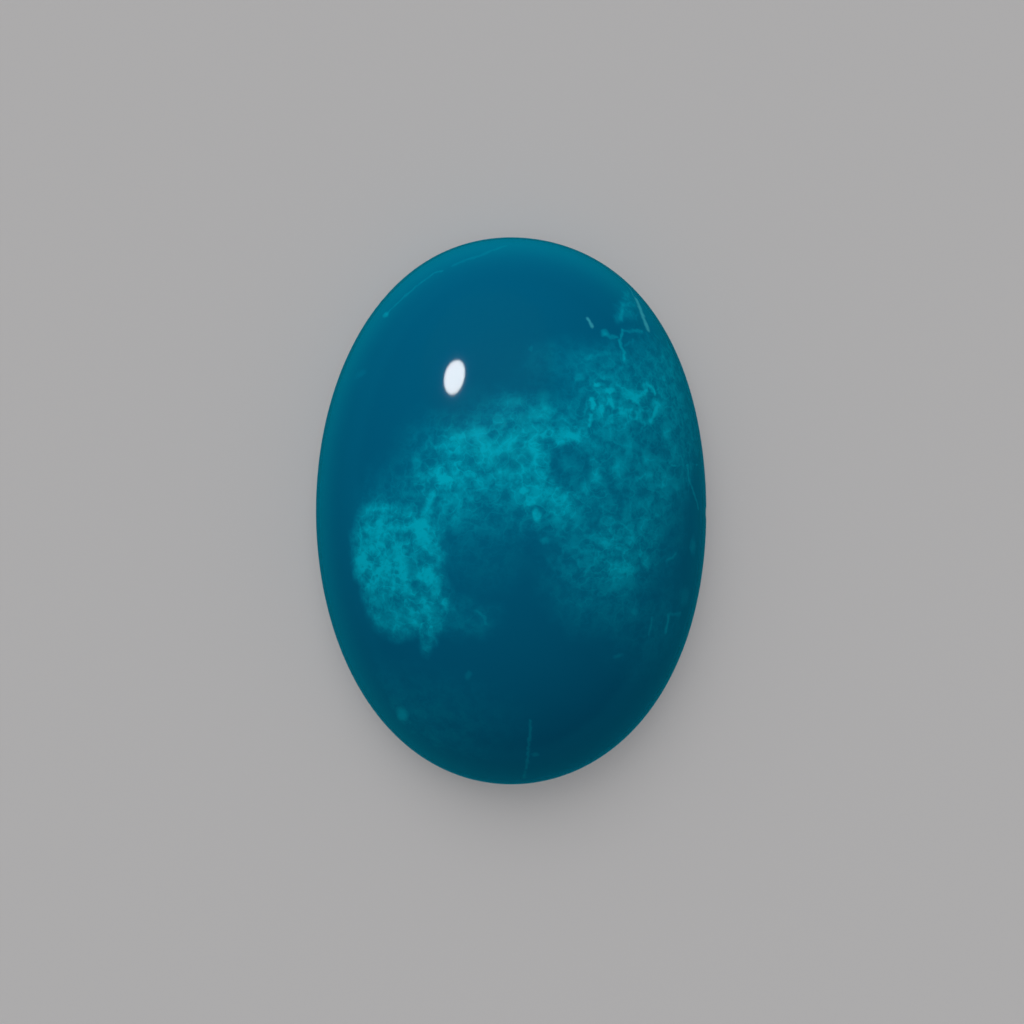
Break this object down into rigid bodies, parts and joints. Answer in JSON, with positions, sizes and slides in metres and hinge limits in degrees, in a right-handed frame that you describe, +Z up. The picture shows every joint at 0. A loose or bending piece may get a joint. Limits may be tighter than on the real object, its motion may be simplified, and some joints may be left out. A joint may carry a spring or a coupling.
{
  "type": "turquoise cabochon",
  "caption": "Polished oval turquoise cabochon with a high dome, a bevelled edge and a flat back, cut to be set in a ring or pendant.",
  "frame": {"origin": "centre of the flat back, which the stone rests on", "axes": "+Y along the length, +X across the width, +Z up out of the back through the top of the dome"},
  "size_m": [0.0128, 0.018, 0.006],
  "materials": {
    "turquoise": "polished"
  },
  "bodies": {
    "root": {"cabochon": "turquoise"}
  },
  "joints": []
}
